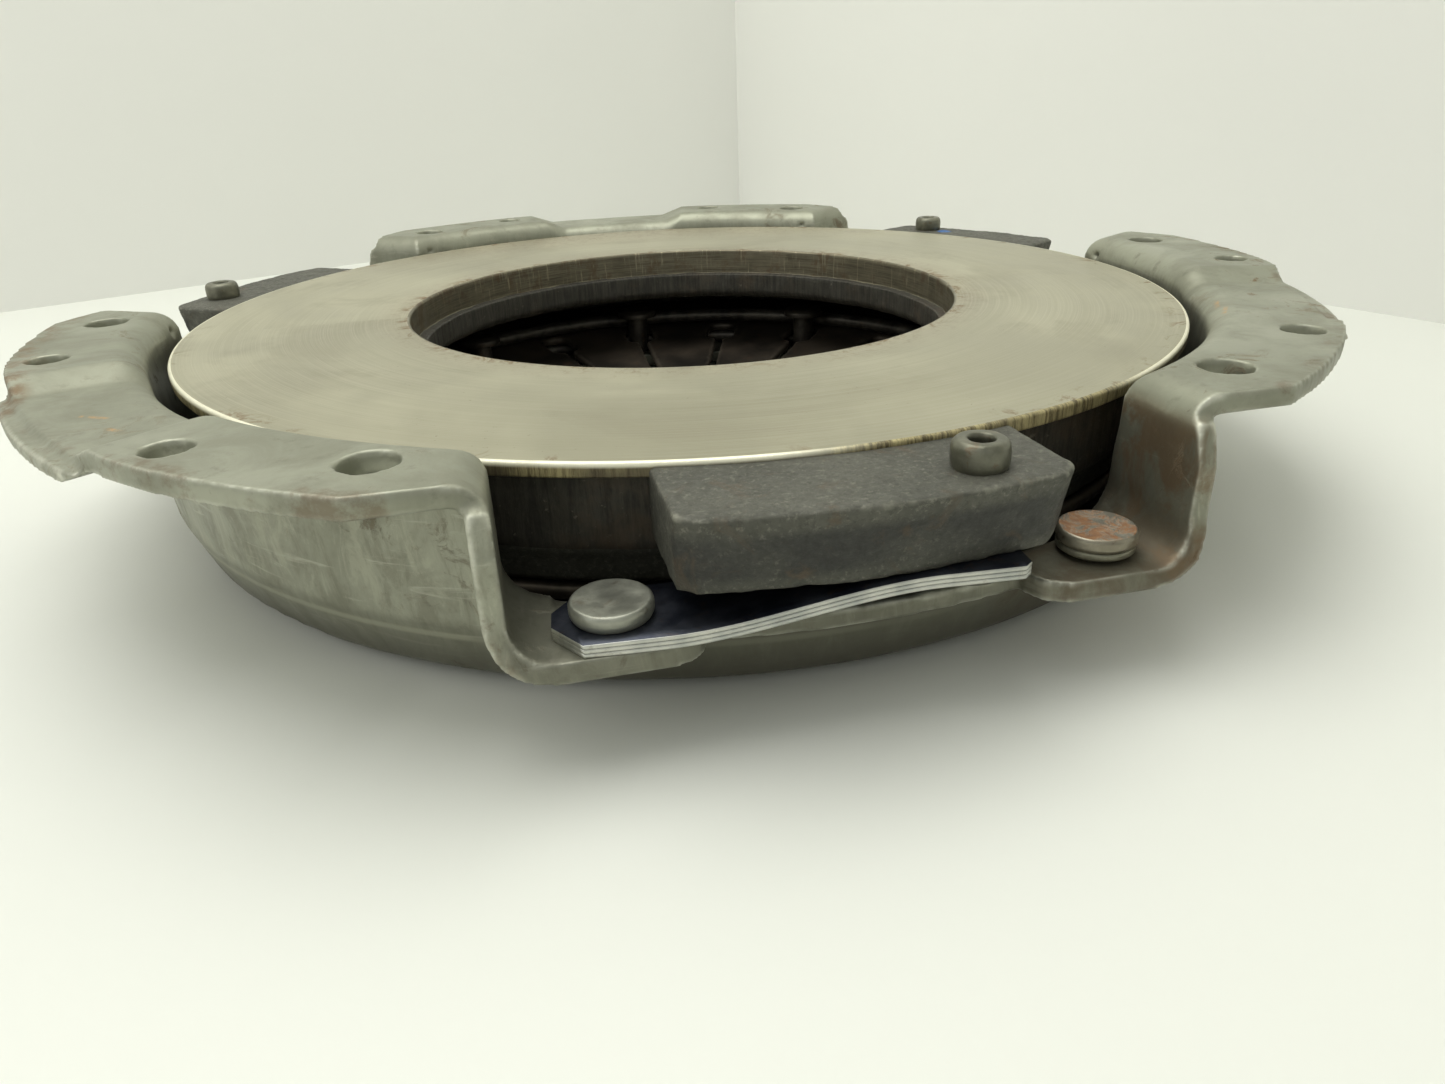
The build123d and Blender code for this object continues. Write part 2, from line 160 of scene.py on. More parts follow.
def lumps(co, scale, seed, octaves=4, rough=0.9):
    off = Vector((seed * 1.37, seed * 2.11, -seed * 0.73))
    return np.array([noise.fractal(Vector(p) * scale + off, rough, 2.1, octaves) for p in co])


def lathe(profile, segs=128, centre=(0, 0), wobble=None, start=0):
    """Closed outline (r, z) in millimetres turned about a vertical axis; r = 0 points become poles."""
    verts, faces, mats = [], [], []
    rings = []
    for r, z in profile:
        if r < 1e-6:
            rings.append([len(verts)])
            verts.append((centre[0] * MM, centre[1] * MM, z * MM))
        else:
            ring = []
            for i in range(segs):
                a = 2 * math.pi * i / segs + start
                rr, zz = r, z
                if wobble:
                    rr, zz = wobble(r, z, a)
                ring.append(len(verts))
                verts.append(((centre[0] + rr * math.cos(a)) * MM, (centre[1] + rr * math.sin(a)) * MM, zz * MM))
            rings.append(ring)
    n = len(rings)
    closed = profile[0][0] > 1e-6 and profile[-1][0] > 1e-6
    for k in range(n if closed else n - 1):
        a, b = rings[k], rings[(k + 1) % n]
        if len(a) == 1 and len(b) == 1:
            continue
        for i in range(segs):
            j = (i + 1) % segs
            if len(a) == 1:
                faces.append((a[0], b[j], b[i]))
            elif len(b) == 1:
                faces.append((a[i], a[j], b[0]))
            else:
                faces.append((a[i], a[j], b[j], b[i]))
            mats.append(k)
    return verts, faces, mats


def rounded(points, radius, steps=4):
    """Rounds each corner (r, z, radius or default) of an open profile."""
    out = []
    n = len(points)
    for i, p in enumerate(points):
        rad = p[2] if len(p) > 2 else radius
        if i in (0, n - 1) or rad <= 0:
            out.append((p[0], p[1]))
            continue
        a, b, c = np.array(points[i - 1][:2], float), np.array(p[:2], float), np.array(points[i + 1][:2], float)
        u, v = a - b, c - b
        lu, lv = np.linalg.norm(u), np.linalg.norm(v)
        d = min(rad, lu * 0.49, lv * 0.49)
        p0, p1 = b + u / lu * d, b + v / lv * d
        for s in range(steps + 1):
            t = s / steps
            q = (1 - t) ** 2 * p0 + 2 * t * (1 - t) * b + t * t * p1
            out.append((float(q[0]), float(q[1])))
    return out


def fine(points, step):
    """Adds points along a profile so that no piece is longer than step."""
    out = [points[0]]
    for a, b in zip(points, points[1:]):
        d = math.hypot(b[0] - a[0], b[1] - a[1])
        k = max(1, int(math.ceil(d / step)))
        for i in range(1, k + 1):
            out.append((a[0] + (b[0] - a[0]) * i / k, a[1] + (b[1] - a[1]) * i / k))
    return out


def on_circle(r, a):
    return (r * math.cos(math.radians(a)), r * math.sin(math.radians(a)))


def at(w, axial, lateral):
    """Window frame (outward along its middle, counter-clockwise across it) to x, y."""
    c, s = math.cos(math.radians(w)), math.sin(math.radians(w))
    return (axial * c - lateral * s, axial * s + lateral * c)


# ------------------------------------------------------------------ materials
class Graph:
    def __init__(self, name):
        self.mat = bpy.data.materials.new(name)
        self.mat.use_nodes = True
        self.t = self.mat.node_tree
        self.n, self.l = self.t.nodes, self.t.links
        self.bsdf = self.n["Principled BSDF"]
        self.tex = self.n.new("ShaderNodeTexCoord")
        self.obj = self.tex.outputs["Object"]
        self._polar = None

    def link(self, a, b):
        self.l.new(a, b)

    def math(self, op, a, b=None, clamp=False):
        m = self.n.new("ShaderNodeMath")
        m.operation = op
        m.use_clamp = clamp
        for i, v in enumerate((a, b)):
            if v is None:
                continue
            if isinstance(v, (int, float)):
                m.inputs[i].default_value = v
            else:
                self.link(v, m.inputs[i])
        return m.outputs[0]

    def noise(self, scale, detail=4, rough=0.55, vector=None, distort=0.0):
        x = self.n.new("ShaderNodeTexNoise")
        x.inputs["Scale"].default_value = scale
        x.inputs["Detail"].default_value = detail
        x.inputs["Roughness"].default_value = rough
        x.inputs["Distortion"].default_value = distort
        self.link(vector or self.obj, x.inputs["Vector"])
        return x.outputs["Fac"]

    def stretch(self, sx, sy, sz, vector=None):
        m = self.n.new("ShaderNodeMapping")
        m.inputs["Scale"].default_value = (sx, sy, sz)
        self.link(vector or self.obj, m.inputs["Vector"])
        return m.outputs[0]

    def ramp(self, fac, lo, hi, a=0.0, b=1.0):
        m = self.n.new("ShaderNodeMapRange")
        m.inputs["From Min"].default_value = lo
        m.inputs["From Max"].default_value = hi
        m.inputs["To Min"].default_value = a
        m.inputs["To Max"].default_value = b
        m.interpolation_type = "SMOOTHSTEP"
        self.link(fac, m.inputs["Value"])
        return m.outputs["Result"]

    def mix(self, fac, a, b):
        m = self.n.new("ShaderNodeMix")
        m.data_type = "RGBA"
        for sock, v in ((m.inputs[0], fac), (m.inputs[6], a), (m.inputs[7], b)):
            if isinstance(v, (int, float)):
                sock.default_value = v
            elif isinstance(v, tuple):
                sock.default_value = v + (1.0,)
            else:
                self.link(v, sock)
        return m.outputs[2]

    def polar(self):
        """(radius, arc in metres at the 177 mm radius, z) as a vector, and its parts."""
        if self._polar is None:
            s = self.n.new("ShaderNodeSeparateXYZ")
            self.link(self.obj, s.inputs[0])
            x, y, z = s.outputs
            rad = self.math("SQRT", self.math("ADD", self.math("MULTIPLY", x, x), self.math("MULTIPLY", y, y)))
            arc = self.math("MULTIPLY", self.math("ARCTAN2", y, x), 0.177)
            c = self.n.new("ShaderNodeCombineXYZ")
            self.link(rad, c.inputs[0]); self.link(arc, c.inputs[1]); self.link(z, c.inputs[2])
            self._polar = (c.outputs[0], rad, arc, z, x, y)
        return self._polar

    def attr(self, name):
        a = self.n.new("ShaderNodeAttribute")
        a.attribute_name = name
        return a.outputs["Fac"]

    def bump(self, height, distance, strength=1.0, after=None):
        b = self.n.new("ShaderNodeBump")
        b.inputs["Distance"].default_value = distance
        b.inputs["Strength"].default_value = strength
        self.link(height, b.inputs["Height"])
        if after is not None:
            self.link(after, b.inputs["Normal"])
        return b.outputs[0]

    def done(self, color, rough, metal, normal=None):
        for name, v in (("Base Color", color), ("Roughness", rough), ("Metallic", metal)):
            s = self.bsdf.inputs[name]
            if isinstance(v, tuple):
                s.default_value = v + (1.0,)
            elif isinstance(v, (int, float)):
                s.default_value = v
            else:
                self.link(v, s)
        if normal is not None:
            self.link(normal, self.bsdf.inputs["Normal"])
        return self.mat


def cover_steel():
    g = Graph("cover_steel")
    pv, rad, arc, z, x, y = g.polar()
    big = g.noise(9, 4, 0.6)
    mid = g.noise(42, 6, 0.62, distort=0.4)
    small = g.noise(420, 4, 0.6)
    streak = g.noise(1.0, 6, 0.72, g.stretch(60, 150, 45, pv), distort=0.6)
    scuff = g.noise(1.0, 6, 0.7, g.stretch(40, 34, 300, pv), distort=0.8)
    col = g.mix(g.ramp(big, 0.35, 0.65), (0.265, 0.27, 0.205), (0.345, 0.35, 0.275))
    col = g.mix(g.ramp(mid, 0.38, 0.66, 0.0, 0.6), col, (0.20, 0.20, 0.15))
    col = g.mix(g.ramp(g.noise(150, 6, 0.7), 0.55, 0.72, 0.0, 0.5), col, (0.15, 0.145, 0.105))
    wall = g.math("MULTIPLY", g.ramp(z, -0.001, -0.012), g.ramp(rad, 0.176, 0.183))
    col = g.mix(g.math("MULTIPLY", wall, g.ramp(streak, 0.50, 0.64, 0.0, 0.55)), col, (0.40, 0.40, 0.31))
    col = g.mix(g.math("MULTIPLY", wall, g.ramp(streak, 0.50, 0.36, 0.0, 0.5)), col, (0.165, 0.16, 0.115))
    col = g.mix(g.math("MULTIPLY", wall, g.ramp(scuff, 0.56, 0.70, 0.0, 0.6)), col, (0.47, 0.465, 0.38))
    # painted highlight: a lighter line along the bend at the foot of the wall, where the curve would catch the light
    bead_highlight = g.math("MULTIPLY", g.ramp(g.math("ABSOLUTE", g.math("ADD", z, 0.0500)), 0.0016, 0.0003), g.ramp(rad, 0.176, 0.180))
    # painted shade: the lower outer bowl, towards the table, darkened
    lower_bowl_shade = g.math("MULTIPLY", g.ramp(z, -0.0440, -0.0475), g.ramp(rad, 0.170, 0.176))
    col = g.mix(g.math("MULTIPLY", lower_bowl_shade, 0.45), col, (0.20, 0.20, 0.15))
    col = g.mix(g.math("MULTIPLY", bead_highlight, g.ramp(g.noise(30, 4), 0.36, 0.56, 0.1, 0.6)), col, (0.43, 0.43, 0.33))
    rust = g.math("MULTIPLY", g.ramp(g.noise(75, 8, 0.72, distort=0.8), 0.565, 0.66), g.ramp(g.noise(13, 3, 0.5), 0.42, 0.60), clamp=True)
    side = g.ramp(x, 0.06, 0.19, 0.35, 1.0)
    col = g.mix(g.math("MULTIPLY", rust, g.math("MULTIPLY", side, 0.85)), col, (0.155, 0.085, 0.035))
    tab = g.math("MULTIPLY", g.ramp(z, -0.026, -0.034), g.math("MULTIPLY", g.ramp(x, 0.036, 0.046), g.ramp(y, -0.150, -0.165)))
    col = g.mix(g.math("MULTIPLY", tab, g.ramp(g.noise(60, 7, 0.7, distort=0.7), 0.40, 0.60, 0.25, 0.85)), col, (0.135, 0.092, 0.050))
    # painted shade: the inside of the front window darkened
    window_recess_shade = g.math("MULTIPLY", g.ramp(g.math("ABSOLUTE", x), 0.0795, 0.0775), g.math("MULTIPLY", g.ramp(y, -0.160, -0.166), g.ramp(z, -0.006, -0.012)))
    col = g.mix(g.math("MULTIPLY", window_recess_shade, 0.56), col, (0.09, 0.085, 0.062))
    bend = g.math("MULTIPLY", g.math("MULTIPLY", g.ramp(x, 0.066, 0.076), g.ramp(y, -0.135, -0.150)), g.math("MULTIPLY", g.ramp(z, -0.003, -0.009), g.ramp(g.noise(48, 6, 0.68, distort=0.7), 0.44, 0.58)))
    col = g.mix(g.math("MULTIPLY", bend, 0.72), col, (0.150, 0.098, 0.052))
    # painted shade: the inside of the cover, within the wall, darkened
    interior_shade = g.math("MULTIPLY", g.ramp(rad, 0.1845, 0.1800), g.ramp(z, -0.004, -0.014))
    col = g.mix(g.math("MULTIPLY", interior_shade, 0.62), col, (0.075, 0.07, 0.055))
    wear = g.ramp(g.attr("edge"), 0.25, 0.95)
    col = g.mix(g.math("MULTIPLY", wear, g.ramp(g.noise(120, 4, 0.6), 0.34, 0.62, 0.15, 1.0)), col, (0.62, 0.62, 0.52))
    cutface = g.math("MULTIPLY", g.ramp(rad, 0.2115, 0.2135), g.ramp(g.noise(60, 6, 0.7), 0.50, 0.64))
    col = g.mix(g.math("MULTIPLY", cutface, 0.6), col, (0.15, 0.105, 0.062))
    brown = g.math("MULTIPLY", g.math("MULTIPLY", g.ramp(rad, 0.205, 0.214), g.ramp(x, -0.195, -0.200)), g.ramp(g.noise(120, 5, 0.7), 0.42, 0.6))
    col = g.mix(g.math("MULTIPLY", brown, 0.6), col, (0.19, 0.12, 0.06))
    # painted shade: darker in creases, from the negative curvature
    crease_shade = g.ramp(g.attr("edge"), -0.25, -0.9)
    col = g.mix(g.math("MULTIPLY", crease_shade, 0.55), col, (0.11, 0.105, 0.08))
    # crayon strokes in two of the valleys
    for (ax, ay), (bx, by), wdt in CRAYON:
        dx, dy = bx - ax, by - ay
        ll = math.hypot(dx, dy)
        ux, uy = dx / ll, dy / ll
        t = g.math("ADD", g.math("MULTIPLY", g.math("SUBTRACT", x, ax), ux), g.math("MULTIPLY", g.math("SUBTRACT", y, ay), uy))
        d = g.math("ABSOLUTE", g.math("SUBTRACT", g.math("MULTIPLY", g.math("SUBTRACT", y, ay), ux), g.math("MULTIPLY", g.math("SUBTRACT", x, ax), uy)))
        m = g.math("MULTIPLY", g.ramp(d, wdt, wdt * 0.3), g.math("MULTIPLY", g.ramp(t, -0.001, 0.001), g.ramp(t, ll + 0.001, ll - 0.001)))
        m = g.math("MULTIPLY", m, g.math("MULTIPLY", g.ramp(g.noise(500, 3, 0.6), 0.38, 0.6), g.ramp(z, -0.0065, -0.0045)))
        col = g.mix(g.math("MULTIPLY", m, 0.6), col, (0.56, 0.30, 0.10))
    rough = g.ramp(mid, 0.3, 0.75, 0.36, 0.56)
    rough = g.math("ADD", rough, g.math("MULTIPLY", rust, 0.3), clamp=True)
    b = g.bump(small, 0.00012, 0.5)
    b = g.bump(streak, 0.00012, 0.35, b)
    b = g.bump(rust, 0.00012, 0.6, b)
    return g.done(col, rough, 0.55, b)


def friction_iron():
    g = Graph("friction_iron")
    pv, rad, arc, z, x, y = g.polar()
    rings = g.noise(1.0, 5, 0.75, g.stretch(2600, 6, 0, pv))
    broad = g.noise(1.0, 4, 0.6, g.stretch(90, 5, 0, pv))
    cloud = g.noise(14, 6, 0.62, distort=0.6)
    col = g.mix(g.ramp(cloud, 0.35, 0.65), (0.345, 0.325, 0.23), (0.435, 0.415, 0.305))
    smudge = g.noise(1.0, 5, 0.65, g.stretch(26, 12, 0, pv), distort=0.5)
    col = g.mix(g.ramp(smudge, 0.50, 0.66, 0.0, 0.55), col, (0.27, 0.245, 0.165))
    col = g.mix(g.ramp(broad, 0.42, 0.7, 0.0, 0.4), col, (0.33, 0.31, 0.215))
    col = g.mix(g.ramp(rings, 0.42, 0.68, 0.0, 0.35), col, (0.58, 0.56, 0.45))
    # rust and pitting at the bore edge and towards the outer edge
    blot = g.ramp(g.noise(95, 8, 0.72, distort=0.7), 0.52, 0.64)
    near = g.math("ADD", g.ramp(rad, 0.1085, 0.1015), g.math("MULTIPLY", g.ramp(rad, 0.168, 0.1765), g.ramp(g.noise(16, 3), 0.42, 0.58)), clamp=True)
    back = g.math("MULTIPLY", g.ramp(y, 0.085, 0.160), g.ramp(rad, 0.125, 0.165))
    halo = g.ramp(rad, 0.118, 0.1025)
    # painted shade: the face darkened towards the front edge
    col = g.mix(g.math("MULTIPLY", g.ramp(y, -0.080, -0.150), 0.30), col, (0.285, 0.268, 0.185))
    fleck = g.ramp(g.noise(330, 6, 0.75, distort=0.5), 0.50, 0.62)
    dust = g.math("MULTIPLY", fleck, g.math("ADD", g.math("MULTIPLY", back, 0.75), g.math("MULTIPLY", halo, 0.55)), clamp=True)
    col = g.mix(g.math("MULTIPLY", dust, 0.75), col, (0.20, 0.125, 0.070))
    col = g.mix(g.math("MULTIPLY", g.math("ADD", g.math("MULTIPLY", back, 0.5), g.math("MULTIPLY", halo, 0.3)), 0.45), col, (0.30, 0.23, 0.15))
    rust = g.math("MULTIPLY", blot, near)
    col = g.mix(g.math("MULTIPLY", rust, 0.8), col, (0.17, 0.095, 0.042))
    pits = g.math("MULTIPLY", g.ramp(g.noise(900, 2, 0.5), 0.70, 0.78), g.ramp(g.noise(30, 3), 0.46, 0.6))
    col = g.mix(g.math("MULTIPLY", pits, 0.6), col, (0.16, 0.12, 0.08))
    rough = g.ramp(cloud, 0.3, 0.7, 0.33, 0.47)
    rough = g.math("ADD", rough, g.math("MULTIPLY", rust, 0.35), clamp=True)
    b = g.bump(rings, 0.00003, 0.5)
    b = g.bump(g.noise(700, 3, 0.6), 0.00005, 0.35, b)
    return g.done(col, rough, 0.62, b)


def machined_iron():
    g = Graph("machined_iron")
    pv, rad, arc, z, x, y = g.polar()
    turn = g.noise(1.0, 4, 0.7, g.stretch(400, 30, 2600, pv))
    spot = g.noise(70, 6, 0.65)
    col = g.mix(g.ramp(turn, 0.35, 0.65), (0.125, 0.11, 0.075), (0.235, 0.21, 0.145))
    col = g.mix(g.ramp(spot, 0.50, 0.66, 0.0, 0.8), col, (0.12, 0.085, 0.05))
    col = g.mix(g.ramp(g.noise(1.0, 4, 0.7, g.stretch(100, 420, 60, pv)), 0.56, 0.70, 0.0, 0.7), col, (0.42, 0.38, 0.26))
    b = g.bump(turn, 0.00008, 0.6)
    return g.done(col, g.ramp(spot, 0.3, 0.7, 0.28, 0.55), 0.7, b)


def rim_iron():
    g = Graph("rim_iron")
    pv, rad, arc, z, x, y = g.polar()
    grain = g.noise(1.0, 6, 0.75, g.stretch(160, 500, 60, pv))
    patch = g.noise(45, 6, 0.65)
    col = g.mix(g.ramp(grain, 0.34, 0.66), (0.028, 0.026, 0.020), (0.060, 0.055, 0.042))
    col = g.mix(g.ramp(patch, 0.50, 0.68, 0.0, 0.55), col, (0.10, 0.072, 0.045))
    col = g.mix(g.ramp(g.noise(420, 4, 0.7), 0.62, 0.72, 0.0, 0.5), col, (0.22, 0.20, 0.155))
    b = g.bump(grain, 0.00025, 0.7)
    b = g.bump(g.noise(420, 5, 0.7), 0.0004, 0.7, b)
    return g.done(col, g.ramp(grain, 0.3, 0.7, 0.7, 0.5), 0.3, b)


def lip_iron():
    g = Graph("lip_iron")
    pv, rad, arc, z, x, y = g.polar()
    teeth = g.noise(1.0, 5, 0.8, g.stretch(200, 700, 60, pv))
    run = g.noise(1.0, 3, 0.6, g.stretch(20, 22, 20, pv))
    col = g.mix(g.ramp(teeth, 0.36, 0.62), (0.10, 0.08, 0.04), (0.44, 0.38, 0.20))
    col = g.mix(g.ramp(run, 0.46, 0.60, 0.0, 0.8), col, (0.085, 0.070, 0.045))
    # painted highlight: a bright line along the top of the lip, faded away over the front lug where the edge would be
    # in shade
    lip_highlight = g.math("MULTIPLY", g.ramp(z, -0.0086, -0.0077), g.math("MAXIMUM", g.ramp(x, 0.012, -0.020), g.math("MAXIMUM", g.ramp(x, 0.075, 0.10), g.ramp(y, -0.10, -0.05))))
    col = g.mix(g.math("MULTIPLY", lip_highlight, g.ramp(g.noise(60, 5), 0.3, 0.5, 0.75, 1.0)), col, (0.86, 0.83, 0.66))
    b = g.bump(teeth, 0.0003, 0.8)
    return g.done(col, 0.42, 0.55, b)


def cast_iron():
    g = Graph("cast_iron")
    pv, rad, arc, z, x, y = g.polar()
    big = g.noise(28, 5, 0.6)
    sand = g.noise(520, 5, 0.7)
    col = g.mix(g.ramp(big, 0.35, 0.68), (0.064, 0.064, 0.051), (0.100, 0.099, 0.079))
    col = g.mix(g.ramp(g.noise(700, 5, 0.75), 0.52, 0.68, 0.0, 0.6), col, (0.22, 0.215, 0.17))
    col = g.mix(g.ramp(g.noise(760, 5, 0.75), 0.50, 0.34, 0.0, 0.6), col, (0.045, 0.045, 0.036))
    face = g.math("MULTIPLY", g.ramp(rad, 0.1995, 0.2005), g.ramp(g.math("ABSOLUTE", g.math("ADD", z, 0.0185)), 0.0072, 0.0040))
    col = g.mix(g.math("MULTIPLY", face, g.ramp(g.noise(30, 3), 0.34, 0.54, 0.3, 0.8)), col, (0.028, 0.028, 0.026))
    col = g.mix(g.ramp(g.noise(80, 6, 0.7, distort=0.8), 0.56, 0.70, 0.0, 0.6), col, (0.10, 0.07, 0.042))
    wear = g.ramp(g.attr("edge"), 0.55, 1.1)
    col = g.mix(g.math("MULTIPLY", wear, g.ramp(g.noise(500, 4), 0.35, 0.6, 0.3, 0.75)), col, (0.30, 0.295, 0.235))
    # blue paint dots on one lug
    for (px, py), pr, k in BLUE:
        d = g.math("SQRT", g.math("ADD", g.math("POWER", g.math("ABSOLUTE", g.math("SUBTRACT", x, px)), 2.0), g.math("POWER", g.math("ABSOLUTE", g.math("SUBTRACT", y, py)), 2.0)))
        m = g.math("MULTIPLY", g.ramp(d, pr, pr * 0.55), g.ramp(g.noise(600, 3), 0.3, 0.5, 0.4, 1.0))
        col = g.mix(g.math("MULTIPLY", m, k), col, (0.03, 0.14, 0.42))
    b = g.bump(sand, 0.0004, 0.75)
    b = g.bump(g.noise(140, 4, 0.6), 0.0005, 0.5, b)
    return g.done(col, g.ramp(sand, 0.3, 0.7, 0.5, 0.74), 0.3, b)


def spring_steel():
    g = Graph("spring_steel")
    pv, rad, arc, z, x, y = g.polar()
    c = g.noise(30, 5, 0.6)
    col = g.mix(g.ramp(c, 0.35, 0.7), (0.024, 0.021, 0.017), (0.070, 0.055, 0.040))
    wear = g.ramp(g.attr("edge"), 0.3, 0.95)
    col = g.mix(g.math("MULTIPLY", wear, 0.5), col, (0.20, 0.17, 0.13))
    col = g.mix(g.ramp(g.noise(90, 7, 0.7, distort=0.6), 0.58, 0.72, 0.0, 0.6), col, (0.09, 0.05, 0.028))
    b = g.bump(g.noise(420, 4, 0.6), 0.0001, 0.5)
    return g.done(col, g.ramp(c, 0.3, 0.7, 0.38, 0.6), 0.7, b)


def steel(name, lo, hi, rough=(0.34, 0.5), metal=0.75, turned=False, spots=0.5, edge=None):
    g = Graph(name)
    c = g.noise(110, 5, 0.62)
    f = g.noise(900, 4, 0.6)
    col = g.mix(g.ramp(c, 0.33, 0.68), lo, hi)
    col = g.mix(g.ramp(g.noise(230, 6, 0.7, distort=0.5), 0.56, 0.70, 0.0, spots), col, (0.12, 0.075, 0.04))
    if edge:
        col = g.mix(g.math("MULTIPLY", g.ramp(g.attr("edge"), 0.2, 0.9), 0.8), col, edge)
    b = g.bump(f, 0.0001, 0.5)
    if turned:
        b = g.bump(g.noise(1.0, 4, 0.7, g.stretch(60, 60, 2200)), 0.00006, 0.6, b)
    return g.done(col, g.ramp(c, 0.3, 0.7, rough[0], rough[1]), metal, b)


def painted_top():
    g = Graph("stop_paint")
    c = g.noise(150, 5, 0.65, distort=0.5)
    worn = g.ramp(g.noise(170, 6, 0.72, distort=0.8), 0.40, 0.55)
    base = g.mix(g.ramp(c, 0.3, 0.7), (0.30, 0.29, 0.24), (0.44, 0.42, 0.35))
    paint = g.mix(g.ramp(g.noise(700, 3), 0.35, 0.65), (0.185, 0.068, 0.016), (0.30, 0.125, 0.030))
    col = g.mix(g.math("MULTIPLY", worn, 0.85), base, paint)
    b = g.bump(worn, 0.00008, 0.6)
    b = g.bump(g.noise(900, 3), 0.00008, 0.4, b)
    return g.done(col, g.ramp(worn, 0.2, 0.8, 0.38, 0.62), g.ramp(worn, 0.2, 0.8, 0.7, 0.15), b)


def stage_mat(name, a, b_, rough):
    g = Graph(name)
    col = g.mix(g.ramp(g.noise(1.6, 3, 0.5), 0.3, 0.7), a, b_)
    return g.done(col, rough, 0.0, g.bump(g.noise(240, 4, 0.6), 0.00006, 0.3))


# crayon strokes: two in the left segment's valley, two in the right one's
CRAYON = [
    ((-0.1769, -0.1010), (-0.1690, -0.1054), 0.0011), ((-0.1666, -0.1149), (-0.1630, -0.1177), 0.0011),
    ((0.1620, -0.0920), (0.1565, -0.0995), 0.0010), ((0.1575, -0.1020), (0.1515, -0.1085), 0.0010),
]
BLUE = [((0.1600, 0.1080), 0.0042, 0.9), ((0.1487, 0.0975), 0.0036, 0.45)]

M_COVER = cover_steel()
M_FRICTION = friction_iron()
M_MACHINED = machined_iron()
M_RIM = rim_iron()
M_LIP = lip_iron()
M_CAST = cast_iron()
M_SPRING = spring_steel()
M_RING = steel("ring_wire", (0.05, 0.045, 0.04), (0.12, 0.11, 0.09), (0.35, 0.5))
M_RIVET = steel("rivet_steel", (0.24, 0.245, 0.205), (0.36, 0.365, 0.305), (0.32, 0.48), 0.72, spots=0.35, edge=(0.52, 0.52, 0.44))
# near-black steel for the fulcrum rivets inside the cover: painted shade, the rivets made dark because they sit in
# shade
M_RIVET_SHADED = steel("rivet_painted_shade", (0.035, 0.03, 0.025), (0.085, 0.075, 0.06), (0.35, 0.5), 0.7, spots=0.5)
M_TUBE = steel("tube_rivet_steel", (0.12, 0.12, 0.09), (0.22, 0.215, 0.165), (0.32, 0.5), 0.75, turned=True, spots=0.6, edge=(0.50, 0.49, 0.40))
M_COLLAR = steel("collar_steel", (0.20, 0.195, 0.145), (0.36, 0.35, 0.27), (0.32, 0.48), turned=True, spots=0.55)
M_STOP = steel("stop_steel", (0.22, 0.20, 0.15), (0.40, 0.37, 0.29), (0.32, 0.48), spots=0.7)
M_PAINT = painted_top()
M_BLUED = steel("strap_blued", (0.022, 0.026, 0.040), (0.062, 0.068, 0.085), (0.30, 0.44), 0.8, spots=0.35)
M_SHEAR = steel("strap_edge", (0.42, 0.43, 0.40), (0.62, 0.62, 0.56), (0.28, 0.42), 0.85, spots=0.3)
M_TABLE = stage_mat("table", (0.735, 0.745, 0.690), (0.760, 0.770, 0.715), 0.5)
M_WALL = stage_mat("wall", (0.765, 0.765, 0.725), (0.785, 0.785, 0.745), 0.6)

# ------------------------------------------------------------------ cover
VOX = 0.0010


def skin_piece(node, body, voxel, rounds, mat, amp, scale, seed, keep_flat=None):
    me = remeshed(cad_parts[node].data.copy(), voxel, rounds)
    co, no = coords(me), normals(me)
    if amp:
        w = lumps(co, scale, seed, 2) * amp
        if keep_flat is not None:
            w *= keep_flat(co)
        co = co + no * w[:, None]
        set_coords(me, co)
    c = curvature(me)
    attribute(me, "edge", np.clip(c / (voxel * 0.16), -1.2, 1.2))
    me.materials.append(mat)
    ob = link(node + "_skin", me, body)
    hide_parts(node)
    return ob


cover = skin_piece("cover", "cover_group", VOX, 2, M_COVER, 0.00013, 30, 3)

# ------------------------------------------------------------------ pressure plate
# ground disc with its bore and rim, turned; the backs of the casting are lumpy
SEG = 720


def plate_profile():
    p = rounded([
        (101.2, -13.0), (101.2, -7.0, 0.9), (177.0, -7.0, 1.1), (177.0, -10.7, 0.5), (171.9, -11.6, 0.8), (171.7, -16.0),
    ], 0.5, 4)
    machined = len(p)
    cast = rounded([
        (171.7, -16.0), (171.7, -31.0, 2.0), (168.6, -35.0, 2.0), (167.0, -41.1, 0.8), (164.4, -43.3, 0.5), (161.6, -43.3, 0.5),
        (159.0, -41.1, 1.0), (156.5, -33.0, 2.0), (152.0, -29.0, 4.0), (101.0, -29.0, 2.0), (97.4, -26.0, 1.6), (97.4, -17.5, 0.7),
        (101.2, -17.5, 0.3), (101.2, -13.0),
    ], 1.0, 4)
    return p, machined, cast


top_p, n_top, cast_p = plate_profile()
top_f = fine(top_p, 1.6)
cast_f = fine(cast_p, 1.6)
prof = top_f + cast_f[1:-1]
# the profile above runs clockwise seen with r to the right; lathe wants it so that faces point outward
offs = Vector((4.1, 9.2, 1.3))


def plate_wobble(r, z, a):
    if z > -11.2 and r > 100 or (100.9 < r < 101.6 and z > -17.4):
        return r, z
    c, s = math.cos(a) * r, math.sin(a) * r
    k = noise.fractal(Vector((c, s, z)) * 0.11 + offs, 0.8, 2.1, 4)
    k2 = noise.noise(Vector((a * 177 * 0.9, z * 0.07, r * 0.05))) if r > 171.0 and z > -31 else 0.0
    amp = 0.42 if r < 100 else 0.35
    if r > 150 or r < 100.5:
        return r + amp * k + 0.22 * k2, z
    return r, z + amp * k


